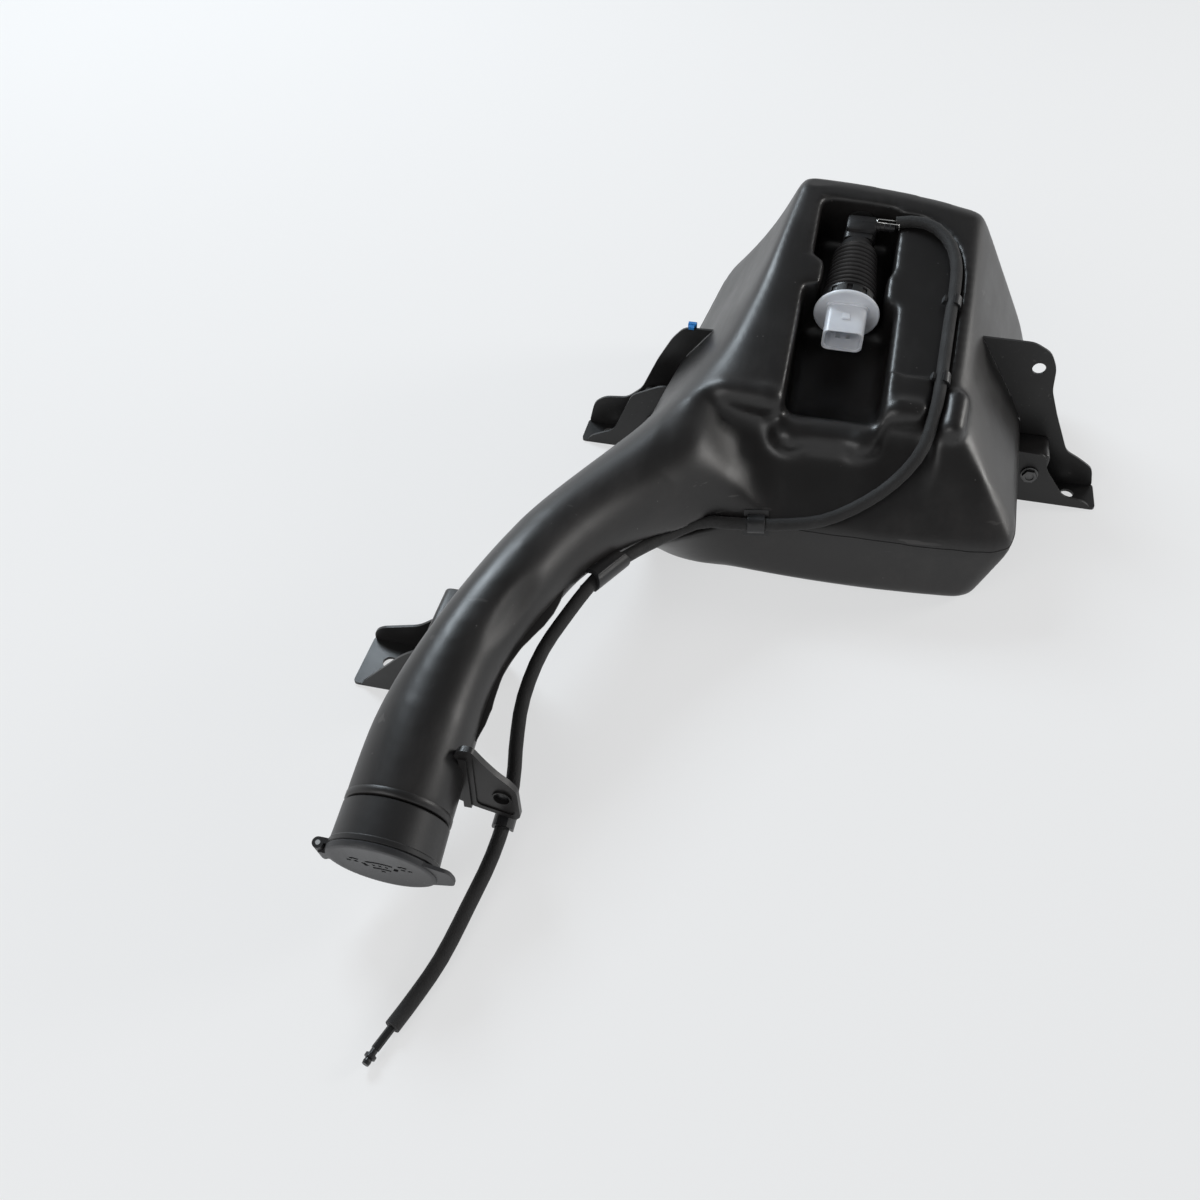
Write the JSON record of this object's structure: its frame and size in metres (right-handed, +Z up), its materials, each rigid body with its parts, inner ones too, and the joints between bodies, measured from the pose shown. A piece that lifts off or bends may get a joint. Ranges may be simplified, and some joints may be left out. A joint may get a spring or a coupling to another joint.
{
  "type": "washer fluid reservoir",
  "caption": "Black blow-moulded washer fluid tank with a long bent filler neck, hinged lid, recessed pump with a white connector, foam-sleeved hose and pressed brackets.",
  "frame": {"origin": "on the floor under the middle of the reservoir, leaving out the free hose", "axes": "+Z up with the tank lying on its flat side, +X along the line of the two tank brackets, -Y from the tank along the filler neck to the lid"},
  "size_m": [0.452, 0.6506, 0.1591],
  "materials": {
    "washer_tank": "satin black, blow moulded",
    "filler_collar": "satin black",
    "filler_lid": "satin black, fine grain",
    "hinge_pin": "bright",
    "lid_seal": "matte",
    "pump_sleeve": "semi-matte, ribbed",
    "motor_can": "bright",
    "pump_head": "satin",
    "motor_rotor": "wound copper and laminated steel",
    "pump_impeller": "satin",
    "inlet_grommet": "matte",
    "inlet_strainer": "satin",
    "outlet_clip": "bright wire",
    "pump_end_cap": "translucent white",
    "connector_pin_a": "tinned",
    "connector_pin_b": "tinned",
    "washer_hose": "matte foam sleeve",
    "hose_tube": "glossy",
    "hose_fitting": "glossy",
    "upper_rim_clip": "satin",
    "lower_rim_clip": "satin",
    "bridge_clip": "satin",
    "neck_sleeve_clip": "satin",
    "lug_hose_clip": "satin",
    "left_bracket": "satin black",
    "right_bracket": "satin black",
    "neck_bracket": "satin black",
    "left_screw": "dark plated",
    "right_screw": "dark plated",
    "neck_screw": "dark plated",
    "blue_clip": "satin blue"
  },
  "bodies": {
    "reservoir": {"washer_tank": "washer_tank", "filler_collar": "filler_collar", "hinge_pin": "hinge_pin", "pump_sleeve": "pump_sleeve", "motor_can": "motor_can", "pump_head": "pump_head", "inlet_grommet": "inlet_grommet", "inlet_strainer": "inlet_strainer", "outlet_clip": "outlet_clip", "pump_end_cap": "pump_end_cap", "connector_pin_a": "connector_pin_a", "connector_pin_b": "connector_pin_b", "washer_hose": "washer_hose", "hose_tube": "hose_tube", "hose_fitting": "hose_fitting", "upper_rim_clip": "upper_rim_clip", "lower_rim_clip": "lower_rim_clip", "bridge_clip": "bridge_clip", "neck_sleeve_clip": "neck_sleeve_clip", "lug_hose_clip": "lug_hose_clip", "left_bracket": "left_bracket", "right_bracket": "right_bracket", "neck_bracket": "neck_bracket", "left_screw": "left_screw", "right_screw": "right_screw", "neck_screw": "neck_screw", "blue_clip": "blue_clip"},
    "lid": {"filler_lid": "filler_lid", "lid_seal": "lid_seal"},
    "rotor": {"motor_rotor": "motor_rotor", "pump_impeller": "pump_impeller"}
  },
  "joints": [
    {"name": "lid_hinge", "type": "hinge", "parent": "reservoir", "child": "lid", "pos_m": [-0.1827, -0.2766, 0.0395], "axis": [0, 0.2588, -0.9659], "range_deg": [0, 110]},
    {"name": "rotor_spin", "type": "hinge", "parent": "reservoir", "child": "rotor", "pos_m": [0.0325, 0.1634, 0.11379], "axis": [0, -0.9659, -0.2588], "continuous": true}
  ]
}
